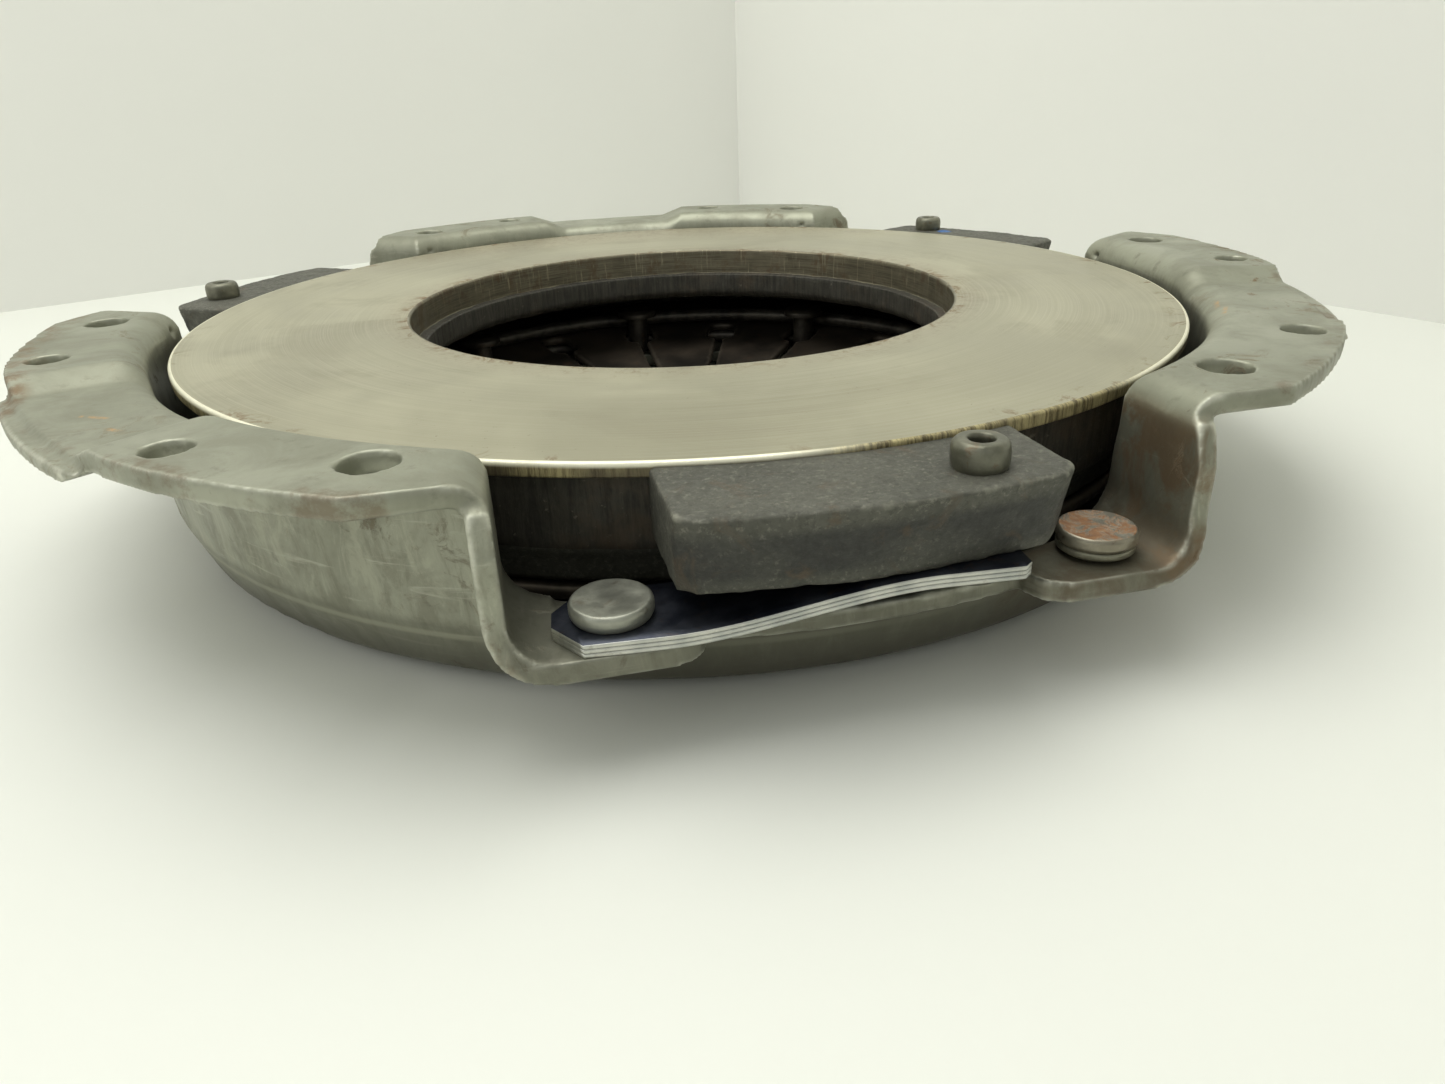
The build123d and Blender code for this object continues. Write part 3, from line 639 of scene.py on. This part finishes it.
verts, faces, ring_index = lathe(prof, SEG, wobble=plate_wobble)
mats = []
n_prof = len(prof)
for k in ring_index:
    r0, z0 = prof[k]
    r1, z1 = prof[(k + 1) % n_prof]
    zm, rm = (z0 + z1) / 2, (r0 + r1) / 2
    if zm > -7.02 and 102.2 < rm < 175.9:
        mats.append(0)
    elif rm > 171 and zm < -10.9:
        mats.append(3 if zm < -31 else 2)
    elif zm > -11.2 and rm > 150:
        mats.append(4)
    elif zm > -11.2 or (100.9 < rm < 101.6 and zm > -17.4):
        mats.append(1)
    elif rm < 100.9:
        mats.append(2)
    else:
        mats.append(3)
bm_mats = [M_FRICTION, M_MACHINED, M_RIM, M_CAST, M_LIP]


def outward(me):
    bm = bmesh.new()
    bm.from_mesh(me)
    bmesh.ops.recalc_face_normals(bm, faces=bm.faces)
    bm.to_mesh(me)
    bm.free()
    return me


disc = outward(mesh_of("plate_disc", verts, faces, mats))
attribute(disc, "edge", np.zeros(len(disc.vertices)))
for m in bm_mats:
    disc.materials.append(m)
plate = link("plate_disc", disc, "plate_group")
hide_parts("pressure_plate")


def prism(low, high, z0, z1):
    n = len(low)
    v = [(x * MM, y * MM, z0 * MM) for x, y in low] + [(x * MM, y * MM, z1 * MM) for x, y in high]
    f = [tuple(range(n - 1, -1, -1)), tuple(range(n, 2 * n))] + [(i, (i + 1) % n, n + (i + 1) % n, n + i) for i in range(n)]
    return mesh_of("prism", v, f)


def lug_outline(w, radius, side):
    half = math.degrees(math.asin(side / radius))
    out = [at(w, 166.0, -side), at(w, radius - 7.5, -side)]
    for i in range(25):
        out.append(on_circle(radius, w - half + 1.1 + (2 * half - 2.2) * i / 24))
    return out + [at(w, radius - 7.5, side), at(w, 166.0, side)]


for w, tag in zip(WINDOWS, ("front", "right", "left")):
    me = remeshed(prism(lug_outline(w, 201.4, 43.1), lug_outline(w, 206.0, 43.7), -27.4, -8.3), VOX, 2)
    co, no = coords(me), normals(me)
    rad = np.hypot(co[:, 0], co[:, 1])
    fade = np.clip((rad - 0.170) / 0.003, 0, 1)
    calm = np.clip((rad - 0.1775) / 0.004, 0.25, 1)
    co = co + no * ((lumps(co, 70, 11 + w) * 0.00036 + lumps(co, 420, 5 + w, 2) * 0.00012) * fade * calm)[:, None]
    set_coords(me, co)
    attribute(me, "edge", np.clip(curvature(me) / (VOX * 0.16), -1.2, 1.2) * fade)
    me.materials.append(M_CAST)
    lug = link("lug_" + tag, me, "plate_group")
    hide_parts("pressure_plate")

# ------------------------------------------------------------------ diaphragm spring
spring = remeshed(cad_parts["diaphragm_spring"].data.copy(), 0.0013, 3)
co = coords(spring)
set_coords(spring, co + normals(spring) * (lumps(co, 40, 21) * 0.00012)[:, None])
attribute(spring, "edge", np.clip(curvature(spring) / 0.0002, -1.2, 1.2))
spring.materials.append(M_SPRING)
spring = link("diaphragm", spring, "cover_group")
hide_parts("diaphragm_spring")

# ------------------------------------------------------------------ fulcrum rings
FLOOR_Z = -58.9
WIRE = 3.25
UNDER = FLOOR_Z + 2 * WIRE + 0.08
LOW_Z = FLOOR_Z + WIRE + 0.02
UP_Z = UNDER + 4.2 + WIRE * 1.011 + 0.05
SEAT_Z = UP_Z + WIRE + 0.02


def torus(name, node, r, z, wire):
    p = [(r + wire * math.cos(2 * math.pi * i / 20), z + wire * math.sin(2 * math.pi * i / 20)) for i in range(20)]
    v, f, _ = lathe(p, 240, wobble=lambda rr, zz, a: (rr + 0.03 * math.sin(7 * a), zz))
    me = outward(mesh_of(name, v, f))
    attribute(me, "edge", np.zeros(len(me.vertices)))
    me.materials.append(M_RING)
    ob = link(name, me, "cover_group")
    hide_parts(node)


torus("ring_cover_side", "fulcrum_ring_cover_side", 132.5, LOW_Z, WIRE - 0.03)
torus("ring_plate_side", "fulcrum_ring_plate_side", 132.5, UP_Z, WIRE)


# ------------------------------------------------------------------ rivets and collars
def turned_set(name, node, body, centres, profiles, mats, segs=64, face_mat=None, seed=1):
    V, F, Mt = [], [], []
    for n, c in enumerate(centres):
        for prof_ in profiles:
            def wob(r, z, a, n=n):
                k = noise.noise(Vector((math.cos(a) * 1.7, math.sin(a) * 1.7, z * 0.35 + 5 * n + seed)))
                return r + 0.09 * k, z + 0.05 * noise.noise(Vector((math.cos(a) * r * 0.4, math.sin(a) * r * 0.4, 3.1 * n + seed)))
            v, f, k = lathe(prof_, segs, c, wob)
            base = len(V)
            V += v
            F += [tuple(i + base for i in q) for q in f]
            for q in k:
                (r0, z0), (r1, z1) = prof_[q], prof_[(q + 1) % len(prof_)]
                Mt.append(face_mat((r0 + r1) / 2, (z0 + z1) / 2) if face_mat else 0)
    me = outward(mesh_of(name, V, F, Mt))
    attribute(me, "edge", np.clip(curvature(me, 1) / 0.00008, -1.2, 1.2))
    for m in mats:
        me.materials.append(m)
    ob = link(name, me, body)
    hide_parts(node)
    return ob


TAB = -38.0
PACK = TAB + 0.02 + 3 * 1.03
SHEET = 5.1


def points(angle):
    return [on_circle(194.5, w + angle) for w in WINDOWS]


closed_head = fine(rounded([(0, TAB - SHEET + 1.6), (7.1, TAB - SHEET + 1.6), (7.3, TAB - SHEET - 1.3, 0.6), (5.8, TAB - SHEET - 2.6, 0.6), (0, TAB - SHEET - 2.6)], 0.3), 1.2)
closed_head = fine(rounded([(0, TAB - SHEET - 0.02), (7.3, TAB - SHEET - 0.02, 0.2), (7.3, TAB - SHEET - 1.3, 0.6), (5.8, TAB - SHEET - 2.6, 0.6), (0, TAB - SHEET - 2.6)], 0.3), 1.2)
cover_head = fine(rounded([(0, PACK + 4.2), (3.5, PACK + 4.05), (8.7, PACK + 4.15, 0.9), (9.25, PACK + 3.3, 0.5), (9.25, PACK + 1.3, 0.6), (8.5, PACK + 0.02, 0.2), (0, PACK + 0.02)], 0.4, 5), 0.9)
turned_set("cover_rivets", "strap_cover_rivets", "cover_group", points(-16.7), [cover_head, closed_head], [M_RIVET], seed=2)

stop_head = fine(rounded([(0, PACK + 3.6), (4.0, PACK + 3.5), (8.9, PACK + 3.55, 0.8), (9.45, PACK + 2.9, 0.5), (9.45, PACK + 0.7, 0.5), (9.0, PACK + 0.02, 0.2), (0, PACK + 0.02)], 0.4, 5), 0.9)
turned_set("stop_rivets_seen", "stop_rivets", "cover_group", points(18.4), [stop_head, closed_head], [M_STOP, M_PAINT], seed=6,
           face_mat=lambda r, z: 1 if z > PACK + 3.0 and r < 8.8 else 0)
collar = fine(rounded([(5.02, TAB + 0.04), (7.0, TAB + 0.04, 0.2), (9.2, TAB + 1.4, 0.4), (9.2, PACK - 0.4, 0.35), (8.8, PACK - 0.03, 0.2), (5.02, PACK - 0.03)], 0.2, 4), 0.8)
turned_set("collars", "stop_collars", "cover_group", points(18.4), [collar], [M_COLLAR], seed=9)

LUG_TOP, LUG_BOTTOM = -8.3, -27.4
tube = fine(rounded([(0, -8.0), (2.7, -8.0, 0.3), (2.75, -2.9, 0.4), (3.1, -2.0, 0.4), (5.2, -2.0, 0.5), (6.1, -2.9, 0.6), (6.35, -4.4, 0.6), (6.35, -7.2, 0.6), (5.9, LUG_TOP - 0.35), (0, LUG_TOP - 0.35)], 0.3, 4), 0.8)
U = LUG_BOTTOM - 0.05 - 3 * 1.03
lug_head = fine(rounded([(0, U - 0.02), (8.4, U - 0.02, 0.2), (8.4, U - 1.8, 0.6), (6.8, U - 3.4, 0.7), (0, U - 3.4)], 0.3, 4), 0.9)
turned_set("lug_rivets", "strap_lug_rivets", "plate_group", points(7.1), [tube, lug_head], [M_TUBE], segs=72, seed=14)

fr = fine(rounded([(0, SEAT_Z + 3.6), (7.6, SEAT_Z + 3.6, 0.8), (9.6, SEAT_Z + 2.2, 0.6), (9.6, SEAT_Z, 0.4), (5.0, SEAT_Z, 0.3), (5.0, FLOOR_Z + 0.02, 0.2), (0, FLOOR_Z + 0.02)], 0.3, 4), 1.2)
fr_low = fine(rounded([(0, -64.02), (8.2, -64.02, 0.2), (8.2, -65.4, 0.7), (6.4, -67.0, 0.7), (0, -67.0)], 0.3, 4), 1.0)
# the rivet parts inside the cover take the dark painted-shade steel; the heads below the cover take the plain rivet
# steel
turned_set("fulcrum_rivets_seen", "fulcrum_rivets", "cover_group", [on_circle(124.0, 90 + 40 * i) for i in range(9)], [fr, fr_low], [M_RIVET_SHADED, M_RIVET], segs=48, seed=20,
           face_mat=lambda r, z: 1 if z < -63.0 else 0)

# ------------------------------------------------------------------ drive straps
TAIL, NOSE, WIDTH, THICK, PITCH = 13.0, 9.5, 23.5, 1.0, 1.03
LIFT = (LUG_BOTTOM - 0.03 - 3 * PITCH) - TAB


def half_width(s, chord):
    h = WIDTH / 2
    if s < -6.6:
        h = 3.2 + (h - 3.2) * (s + TAIL) / (TAIL - 6.6)
    if s > chord + NOSE - 2.0:
        h -= (s - (chord + NOSE - 2.0)) * 0.9
    return max(h, 3.0)


for w, tag in zip(WINDOWS, ("front", "right", "left")):
    ax, ay = on_circle(194.5, w - 16.7)
    bx, by = on_circle(194.5, w + 7.1)
    chord = math.hypot(bx - ax, by - ay)
    dx, dy = (bx - ax) / chord, (by - ay) / chord
    for i, level in enumerate(("lower", "middle", "upper")):
        z0 = TAB + 0.02 + i * PITCH
        stations = sorted(set([-TAIL, -TAIL + 0.25] + [-TAIL + 0.8 * k for k in range(1, 9)] + [-6.6] + [2.0 * k for k in range(-3, int(chord / 2) + 2)] + [chord + k for k in (2, 4, 6, 7.5, 8.5, 9.25, 9.5)]))
        stations = [s for s in stations if s <= chord + NOSE + 1e-6]
        V, F, Mt = [], [], []
        cols = 9
        rows = []
        for s in stations:
            t = min(max((s - 10.0) / (chord - 20.0), 0), 1)
            z = z0 + LIFT * (t * t * (3 - 2 * t))
            h = half_width(s, chord) - 0.02 * ((i * 7) % 3)
            ring = []
            bev = 0.14
            lat = [-h + bev] + [(-h + bev) + (2 * h - 2 * bev) * k / (cols - 1) for k in range(1, cols - 1)] + [h - bev]
            sec = [(q, THICK) for q in lat] + [(h, THICK - bev), (h, bev)] + [(q, 0.0) for q in reversed(lat)] + [(-h, bev), (-h, THICK - bev)]
            for q, up in sec:
                wav = 0.05 * noise.noise(Vector((s * 0.06, q * 0.1, i * 3.0 + w)))
                ring.append(len(V))
                V.append(((ax + dx * s + dy * q) * MM, (ay + dy * s - dx * q) * MM, (z + up + wav * 0.3) * MM))
            rows.append(ring)
        m = len(rows[0])
        for a, b in zip(rows, rows[1:]):
            for k in range(m):
                j = (k + 1) % m
                F.append((a[k], a[j], b[j], b[k]))
                side = cols - 1 <= k <= cols + 1 or k >= 2 * cols + 1
                Mt.append(1 if side else 0)
        F.append(tuple(rows[0])); Mt.append(1)
        F.append(tuple(reversed(rows[-1]))); Mt.append(1)
        me = outward(mesh_of("leaf", V, F, Mt, smooth=False))
        me.materials.append(M_BLUED)
        me.materials.append(M_SHEAR)
        attribute(me, "edge", np.zeros(len(me.vertices)))
        bpy_angle = math.radians(50)
        ob = link(f"leaf_{tag}_{level}", me)
        me.shade_smooth() if hasattr(me, "shade_smooth") else None
        me.set_sharp_from_angle(angle=bpy_angle)
        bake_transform(ob)
        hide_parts(f"strap_{tag}_{level}")

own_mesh(spring)

# ------------------------------------------------------------------ camera
D, H = 2.10663 * R, 0.42549 * R
turn = math.radians(-11.2)
pan, tilt, roll = math.radians(1.76986), math.radians(25.96683), math.radians(-2.08624)
fwd = Vector((math.sin(pan) * math.cos(tilt), math.cos(pan) * math.cos(tilt), -math.sin(tilt)))
right = Vector((math.cos(pan), -math.sin(pan), 0))
up = right.cross(fwd)
r = math.cos(roll) * right + math.sin(roll) * up
u = -math.sin(roll) * right + math.cos(roll) * up
rot = Matrix.Rotation(turn, 3, "Z")
r, u, fwd = rot @ r, rot @ u, rot @ fwd
pos = rot @ Vector((0, -D, H)) + Vector((0, 0, -0.007))
cam_data = bpy.data.cameras.new("cam")
cam_data.lens = 23.914
cam_data.sensor_width = 36
cam_data.clip_start = 0.01
cam = bpy.data.objects.new("cam", cam_data)
m = Matrix.Identity(4)
for i in range(3):
    m[i][0], m[i][1], m[i][2], m[i][3] = r[i], u[i], -fwd[i], pos[i]
cam.matrix_world = m
bpy.context.scene.collection.objects.link(cam)
bpy.context.scene.camera = cam

# ------------------------------------------------------------------ stage: table and a corner of pale panels
TABLE_Z = -0.067
corner = (0.2056, 0.6991)
lx, ly = -0.912, -0.410
rx, ry = 0.328, -0.945
p0 = corner
pl = (corner[0] + lx * 3, corner[1] + ly * 3)
pr = (corner[0] + rx * 3, corner[1] + ry * 3)
far = (pl[0] + rx * 3, pl[1] + ry * 3)
nx = 12


def grid_quad(name, a, b, c, d, n, mat):
    V, F = [], []
    for i in range(n + 1):
        for j in range(n + 1):
            s, t = i / n, j / n
            V.append(tuple((1 - s) * (1 - t) * np.array(a) + s * (1 - t) * np.array(b) + s * t * np.array(c) + (1 - s) * t * np.array(d)))
    for i in range(n):
        for j in range(n):
            q = i * (n + 1) + j
            F.append((q, q + n + 1, q + n + 2, q + 1))
    me = mesh_of(name, V, F)
    me.materials.append(mat)
    ob = link(name, me)
    ob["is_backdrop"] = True
    return ob


grid_quad("table", p0 + (TABLE_Z,), pl + (TABLE_Z,), far + (TABLE_Z,), pr + (TABLE_Z,), nx, M_TABLE)
grid_quad("panel_left", p0 + (TABLE_Z,), pl + (TABLE_Z,), pl + (1.6,), p0 + (1.6,), nx, M_WALL)
grid_quad("panel_right", p0 + (TABLE_Z,), pr + (TABLE_Z,), pr + (1.6,), p0 + (1.6,), nx, M_WALL)

bpy.context.scene.view_settings.view_transform = "Standard"
bpy.context.scene.view_settings.look = "None"
world = bpy.data.worlds.new("studio")
bpy.context.scene.world = world
world.use_nodes = True
world.node_tree.nodes["Background"].inputs[0].default_value = (0.975, 1.0, 0.95, 1)
world.node_tree.nodes["Background"].inputs[1].default_value = 0.58


def area(name, location, target, size, energy, color=(1, 1, 1)):
    data = bpy.data.lights.new(name, "AREA")
    data.shape = "RECTANGLE"
    data.size, data.size_y = size
    data.energy = energy
    data.color = color
    ob = bpy.data.objects.new(name, data)
    ob.location = location
    ob.rotation_euler = (Vector(target) - Vector(location)).to_track_quat("-Z", "Y").to_euler()
    bpy.context.scene.collection.objects.link(ob)
    return ob


area("overhead", (-0.25, 0.15, 1.15), (0.0, 0.0, 0.0), (1.3, 1.0), 13.4, (1.0, 1.0, 0.96))
area("left_fill", (-1.1, -0.5, 0.7), (0.0, 0.0, 0.0), (0.8, 0.8), 2.4, (1.0, 1.0, 0.97))

def plain(b):
    if isinstance(b, dict):
        return {k: plain(v) for k, v in b.items()}
    try:
        return [plain(v) for v in b]
    except TypeError:
        return float(b)
{"before": plain(BEFORE), "after": plain(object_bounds())}
